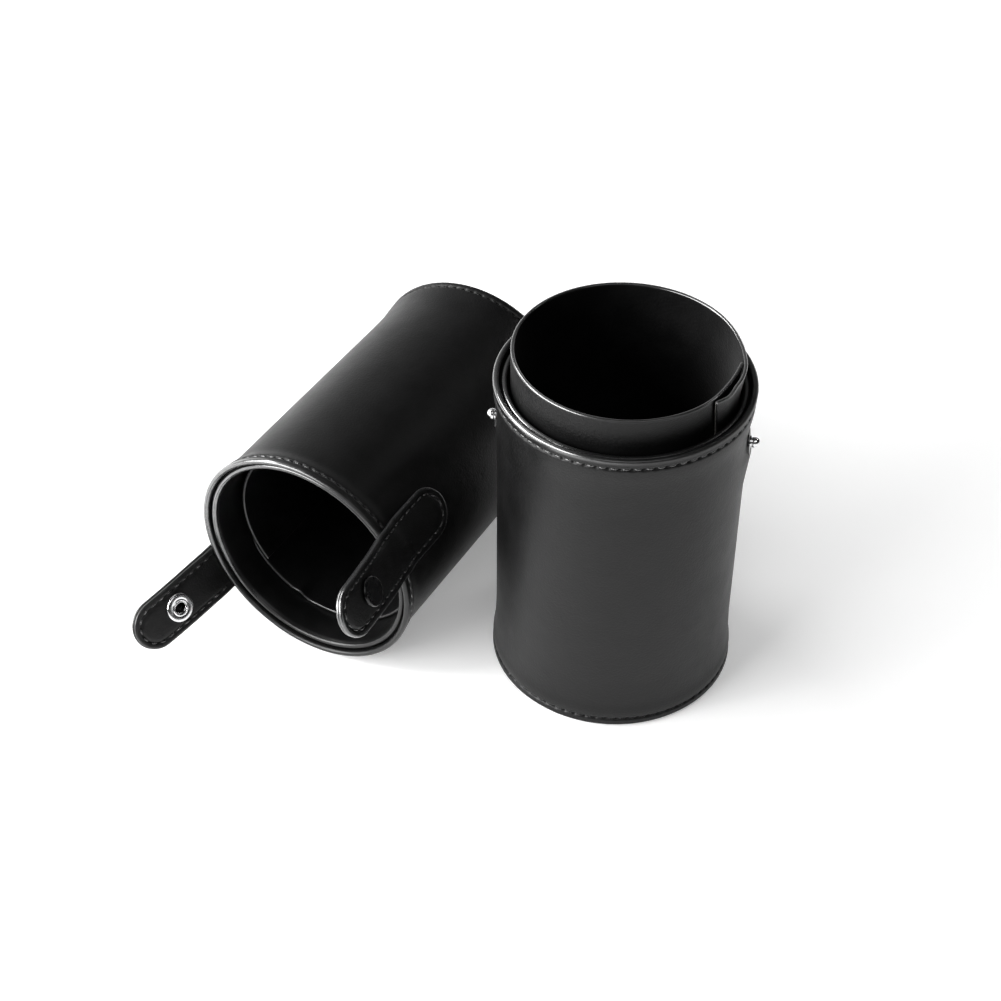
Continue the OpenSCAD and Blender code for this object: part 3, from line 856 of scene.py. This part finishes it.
def strap_layer(outline, holes, sign, swell, polish):
    """Flat points, faces and polish of one layer. sign is 1 for the outer one and -1 for the lining.

    section runs from the middle of the hidden face, round the edge, to the middle of the shown face, as
    (distance in from the edge, share of the thickness).
    """
    low, thick = sign * LAYER_GAP, LAYER - LAYER_GAP
    section = [(8.0, 0), (5.5, 0), (3, 0), (1, 0), (0.3, 0.02), (0.06, 0.14), (0, 0.34), (0, 0.66),
               (0.09, 0.86), (0.26, 0.96)]
    section += [(inset, 1.0) for inset in (0.5, 0.9, 1.3, 1.6, 1.85, 2.1, 2.3, 2.5, 2.75, 3.0, 3.4, 4.0, 5.0,
                                           6.5, 8.0)]
    count = holes * STITCH_STEPS
    walked = np.arange(count) * outline.total / count
    to_hole = ((np.arange(count) / STITCH_STEPS + 0.5) % 1 - 0.5) * outline.total / holes
    rows, edges = [], []
    for inset, level in section:
        x, y = outline.at(walked, inset)
        h = np.full(count, level * thick)
        if level == 1.0:
            h = h - 0.32 * bell(inset - STRAP_INSET, 0.5)
            h = h - 0.22 * bell(inset - STRAP_INSET, 0.4) * bell(to_hole, 0.55)
            h = h + swell * smoothstep(STRAP_INSET, 5.0, inset)
        rows.append(np.stack([x, y, low + sign * h], axis=-1))
        edges.append(np.full(count, polish * float(0.02 <= level and inset < 0.7)))
    points = np.concatenate(rows)
    faces = grid_faces(len(section), count, False, True)
    for row in (0, len(section) - 1):
        base = row * count
        for i in range(count // 2):
            a, b = base + i, base + i + 1
            c, d = base + (count - i - 1) % count, base + (count - i) % count
            quad = [k for n, k in enumerate([a, b, c, d]) if k not in [a, b, c, d][:n]]
            if len(quad) > 2:
                faces.append(quad if row == 0 else quad[::-1])
    return points, faces, np.concatenate(edges)


def bored(obj, path, x, radius, sides=48, reach=4):
    """Cuts the snap's hole through a strap layer."""
    origin, along, across, normal = path.frame_at(x)
    a = np.linspace(0, 2 * math.pi, sides, endpoint=False)
    ring = np.outer(np.cos(a), along) * radius + np.outer(np.sin(a), across) * radius
    points = np.vstack([origin + ring - normal * reach, origin + ring + normal * reach])
    faces = grid_faces(2, sides, False, True) + [list(range(sides))[::-1], list(range(sides, 2 * sides))]
    cutter = make_mesh("cutter", placed(LID, points), faces, points, 30)
    face_outwards(cutter)
    cut = obj.modifiers.new("hole", "BOOLEAN")
    cut.operation, cut.solver, cut.object = "DIFFERENCE", "EXACT", cutter
    evaluated = obj.evaluated_get(bpy.context.evaluated_depsgraph_get())
    mesh = bpy.data.meshes.new_from_object(evaluated)
    obj.modifiers.clear()
    obj.data = mesh
    bpy.data.objects.remove(cutter)


SNAP_HOLE_R = 2.5
SOCKET_R = 4.95
CAP_R = 4.9


def spring(side, place, depth, body):
    """A flattened wire ring, open at one place, in the socket's mouth."""
    coil_radius, wire, gap, rings, sides = 1.95, 0.2, 18, 60, 10
    up, level = np.array([0, 0, 1]), np.array([0, 0, depth])
    points = []
    for a in np.radians(np.linspace(gap, 360 - gap, rings)):
        squeeze = 1 - 0.12 * math.cos(2 * a)
        centre = np.array([math.cos(a), math.sin(a), 0]) * coil_radius * squeeze
        out = unit(centre)
        points += [centre + wire * (math.cos(b) * out + math.sin(b) * up) + level
                   for b in np.linspace(0, 2 * math.pi, sides, endpoint=False)]
    points, last = np.array(points), (rings - 1) * sides
    faces = grid_faces(rings, sides, False, True)
    faces += [list(range(sides)), list(range(last, last + sides))[::-1]]
    piece(side + "_spring", placed(place, points), faces, CHROME, body, [side + "_snap_spring"],
          points)


def snap(side, path, body):
    """Cap on the outer face, socket on the lining, and the split spring in the socket's mouth."""
    x = SNAP_REACH
    top = LAYER + 0.1
    cap = [(0, top + 1.1), (1.6, top + 1.13), (3.0, top + 1.18), (3.7, top + 1.25), (4.15, top + 1.27)]
    cap += arc((CAP_R - 0.62, top + 0.62), 0.62, 78, -40, 9)
    cap += [(CAP_R - 0.6, top - 0.12), (2.3, top - 0.12), (2.3, -LAYER - 0.5), (2.05, -LAYER - 0.5),
            (2.05, top + 0.5), (0, top + 0.5)]
    origin, along, across, normal = path.frame_at(x)
    place = (LID_TURN @ np.stack([across, along, normal], axis=1), placed(LID, [origin])[0])
    disc(side + "_cap", place, cap[::-1], ENAMEL, body, [side + "_snap_cap"], facets=120)
    face = -LAYER - 0.06
    socket = [(2.45, face + 0.35), (2.3, face - 0.4), (2.25, face - 1.0)]
    socket += arc((2.55, face - 1.27), 0.3, 180, 330, 8)
    socket += [(2.95, face - 1.33), (3.08, face - 1.38), (3.6, face - 1.4), (4.1, face - 1.4)]
    socket += arc((SOCKET_R - 0.72, face - 0.68), 0.7, -80, 8, 8)
    socket += [(SOCKET_R - 0.04, face - 0.1), (SOCKET_R - 0.3, face + 0.08), (3, face + 0.1)]
    revolve(side + "_socket", place, socket, CHROME, body, [side + "_snap_socket"],
            facets=144, sharp=40)
    spring(side, place, face - 0.95, body)


def strap_leather(side, name, path, holes, sign, trim, swell, polish):
    """One layer of a strap, smaller than the strap by trim all round, with the snap's hole."""
    outline = Outline(-STRAP_SEWN + trim, STRAP_FREE - trim, STRAP_HALF - trim, STRAP_INSET - trim)
    flat, faces, edge = strap_layer(outline, holes, sign, swell, polish)
    obj = make_mesh(f"{side}_strap_{name}_leather", placed(LID, path.lay(flat)), faces, flat, 50, edge)
    face_outwards(obj)
    bored(obj, path, SNAP_REACH, SNAP_HOLE_R)
    obj.data.materials.clear()
    obj.data.materials.append(STRAP_LEATHER)
    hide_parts(f"{side}_strap_{name}", f"{side}_strap_sewn_{name}")
    return obj


def seam_places(outline, holes):
    """(x, y, direction x, direction y, face) of each stitch of a strap: the edge seam, which shows on the
    lining only past the lid's mouth, and the cross seam."""
    places = []
    for face in (1, -1):
        for i in range(holes):
            walked = (i + 0.5) * outline.total / holes
            x0, y0 = outline.at(walked - 0.2, STRAP_INSET)
            x1, y1 = outline.at(walked + 0.2, STRAP_INSET)
            x, y = outline.at(walked, STRAP_INSET)
            if face > 0 or x >= 2.5:
                places.append((float(x), float(y), float(x1 - x0), float(y1 - y0), face))
    for i in range(CROSS_STITCHES):
        y = ((i + 0.5) / CROSS_STITCHES - 0.5) * 2 * (STRAP_HALF - STRAP_INSET - 0.4)
        places.append((-CROSS_SEAM, y, 0.0, 1.0, 1))
    return places


def strap(side, lean, splay, twist, polish):
    """One strap: outer leather, lining, stitches and snap. The soft pieces are laid bent out at the lid's
    mouth and ride on no body; the snap rides on the strap's body.
    """
    body = side + "_strap"
    path = StrapPath(1.0 if side == "left" else -1.0, lean, splay, twist)
    whole = Outline(-STRAP_SEWN, STRAP_FREE, STRAP_HALF, STRAP_INSET)
    holes = round(whole.total / STRAP_PITCH)
    soft = [strap_leather(side, "outer", path, holes, 1, 0.0, 0.1, polish),
            strap_leather(side, "lining", path, holes, -1, 0.28, 0.06, polish)]
    frames = []
    for x, y, dx, dy, face in seam_places(whole, holes):
        origin, along, across, normal = path.frame_at(x, y, face * (LAYER - STITCH_SUNK))
        frames.append((origin, unit(along * dx + across * dy), normal * face))
    points, faces, grain = stitch_row(frames, 41 if side == "left" else 57)
    soft.append(piece(side + "_strap_stitches", placed(LID, points), faces, THREAD, None,
                      [side + "_strap_thread", side + "_strap_sewn_thread"], grain, 60))
    for obj in soft:
        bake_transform(obj)
    snap(side, path, body)


# Strap edges are painted lighter and glossier as wear, the right strap's more, to brighten the highlight
# along its lit edge: that part is a painted highlight.
strap("left", lean=(9.0, 22.3), splay=2.8, twist=1.8, polish=0.35)
strap("right", lean=(12.8, 6.2), splay=1.9, twist=4.1, polish=0.65)

# ---------------------------------------------------------------- studs

FLANGE_TILT = 7.0
STUD_SEAT_R = 39.0
BALL_R = 1.75


def stud(side, angle):
    """Ball stud on its flange, which lies on the flared wall, and the rivet head behind it."""
    out = np.array([math.cos(angle), math.sin(angle), 0])
    side_way = np.array([-math.sin(angle), math.cos(angle), 0])
    turn = np.stack([side_way, np.array([0, 0, 1.0]), out], axis=1)
    if np.linalg.det(turn) < 0:
        turn[:, 0] *= -1
    place = (turn, np.array([0, 0, STUD_Z]))
    base, ball, middle = STUD_SEAT_R, BALL_R, RIM_R + 0.65
    flange = [(0, base - 0.5), (4.1, base - 0.5), (4.35, base - 0.3)]
    flange += arc((4.15, base + 0.25), 0.25, 0, 90, 5) + [(2.6, base + 0.55), (0, base + 0.55)]
    tilt = math.radians(FLANGE_TILT)
    tipped = np.array([[1, 0, 0], [0, math.cos(tilt), math.sin(tilt)], [0, -math.sin(tilt), math.cos(tilt)]])
    centre = place[1] + out * base
    flange_place = (turn @ tipped, centre - turn @ tipped @ np.array([0, 0, base]))
    # The flange is drawn in the caps' black enamel, not chrome, so it shows dark.
    disc(side + "_stud_flange", flange_place, flange, ENAMEL, "cup", [side + "_stud"],
         facets=96)
    neck = [(0, 0.5), (2.1, 0.5), (2.1, 0.75), (1.7, 0.85), (1.3, 1.0), (1.18, 1.15)]
    body_line = [(r, base + z) for r, z in neck] + arc((0, middle), ball, -52, 76, 17)
    body_line += [(0.0, middle + ball * 0.985)]
    disc(side + "_stud_metal", place, body_line, CHROME, "cup", [side + "_stud"], facets=96)
    back = [(0, 35.95), (2.6, 35.96)] + arc((2.75, 36.2), 0.25, -90, 60, 5)
    back += [(1.0, 36.5), (1.0, 39.2), (0, 39.2)]
    disc(side + "_rivet_metal", place, back, CHROME, "cup", [side + "_stud_rivet"], facets=64)


stud("right", 0.0)
stud("left", math.pi)

# ---------------------------------------------------------------- stage, light and camera


def stage_floor():
    """A wide pale floor."""
    mesh = bpy.data.meshes.new("floor")
    size = 4.0
    corners = [(-size, -size, 0), (size, -size, 0), (size, size, 0), (-size, size, 0)]
    mesh.from_pydata(corners, [], [(0, 1, 2, 3)])
    floor = bpy.data.objects.new("floor", mesh)
    bpy.context.scene.collection.objects.link(floor)
    s = Shader("floor_white", Roughness=0.9, Specular_IOR_Level=0.1, Emission_Strength=0.26)
    s.bsdf.inputs["Emission Color"].default_value = (1, 1, 1, 1)
    place = s.node("ShaderNodeTexCoord").outputs["Object"]
    cloud = s.node("ShaderNodeTexNoise", {"Vector": place, "Scale": 3.0, "Detail": 2.0}).outputs["Fac"]
    s.link(s.between(cloud, (0.9, 0.9, 0.9), (0.92, 0.92, 0.92)), "Base Color")
    mesh.materials.append(s.material)


def studio_world(azimuth, horizon, overhead, far_side):
    """Dim surroundings with a pale horizon towards one azimuth."""
    world = bpy.data.worlds.new("studio")
    bpy.context.scene.world = world
    world.use_nodes = True
    t = Nodes(world.node_tree)
    direction = t.node("ShaderNodeTexCoord").outputs["Generated"]
    up = t.node("ShaderNodeSeparateXYZ", {0: direction}).outputs["Z"]
    height = t.ranged(up, 0.0, 0.42, horizon, overhead, interpolation_type="SMOOTHSTEP")
    towards = (math.cos(math.radians(azimuth)), math.sin(math.radians(azimuth)), 0)
    facing = t.node("ShaderNodeVectorMath", {0: direction, 1: towards}, operation="DOT_PRODUCT")
    share = t.ranged(facing.outputs["Value"], 0.1, 0.75, far_side, 1.0, interpolation_type="SMOOTHSTEP")
    background = t.tree.nodes["Background"].inputs
    background["Color"].default_value = (1, 1, 1, 1)
    t.tree.links.new(t.math("MULTIPLY", height, share), background["Strength"])


def hang(name, light, azimuth, elevation, distance, aim):
    """Puts a light at a direction and distance from the point that it aims at."""
    a, e = math.radians(azimuth), math.radians(elevation)
    offset = Vector((math.cos(a) * math.cos(e), math.sin(a) * math.cos(e), math.sin(e))) * distance
    lamp = bpy.data.objects.new(name, light)
    lamp.location = Vector(aim) + offset
    lamp.rotation_mode = "QUATERNION"
    lamp.rotation_quaternion = (-offset).to_track_quat("-Z", "Y")
    bpy.context.scene.collection.objects.link(lamp)


def softbox(name, azimuth, elevation, distance, width, height, power, aim=(-0.03, 0.0, 0.05)):
    """A soft panel that faces the object."""
    light = bpy.data.lights.new(name, "AREA")
    light.shape, light.size, light.size_y, light.energy = "RECTANGLE", width, height, power
    hang(name, light, azimuth, elevation, distance, aim)


def spot(name, azimuth, elevation, distance, cone, power, aim):
    """A soft pool of light on the floor."""
    light = bpy.data.lights.new(name, "SPOT")
    light.energy, light.spot_size, light.spot_blend = power, math.radians(cone), 1.0
    light.shadow_soft_size = 0.12
    hang(name, light, azimuth, elevation, distance, aim)


def camera():
    """The viewpoint: in front of the object, a little to its right, looking down at about 42 degrees."""
    data = bpy.data.cameras.new("camera")
    data.sensor_width, data.lens = 36.0, 64.9
    data.clip_start, data.clip_end = 0.01, 20.0
    cam = bpy.data.objects.new("camera", data)
    cam.location = (0.0369, -0.4329, 0.4466)
    cam.rotation_euler = (math.radians(90 - 41.544), 0, math.radians(9.85))
    bpy.context.scene.collection.objects.link(cam)
    bpy.context.scene.camera = cam


stage_floor()
studio_world(125, 1.3, 0.2, 0.06)
softbox("key", 208, 23, 2.2, 2.4, 1.1, 106)
softbox("rim", 160, 37, 2.0, 1.1, 0.4, 17)
softbox("back", 140, 58, 2.6, 1.6, 0.9, 5)
softbox("front", 295, 55, 2.6, 2.2, 1.2, 13)
spot("glow", 205, 52, 1.1, 15, 20, (-0.11, -0.1, 0.0))
spot("far_glow", 35, 50, 1.1, 20, 7, (0.11, 0.03, 0.0))
camera()
bpy.context.scene.view_settings.view_transform = "Standard"
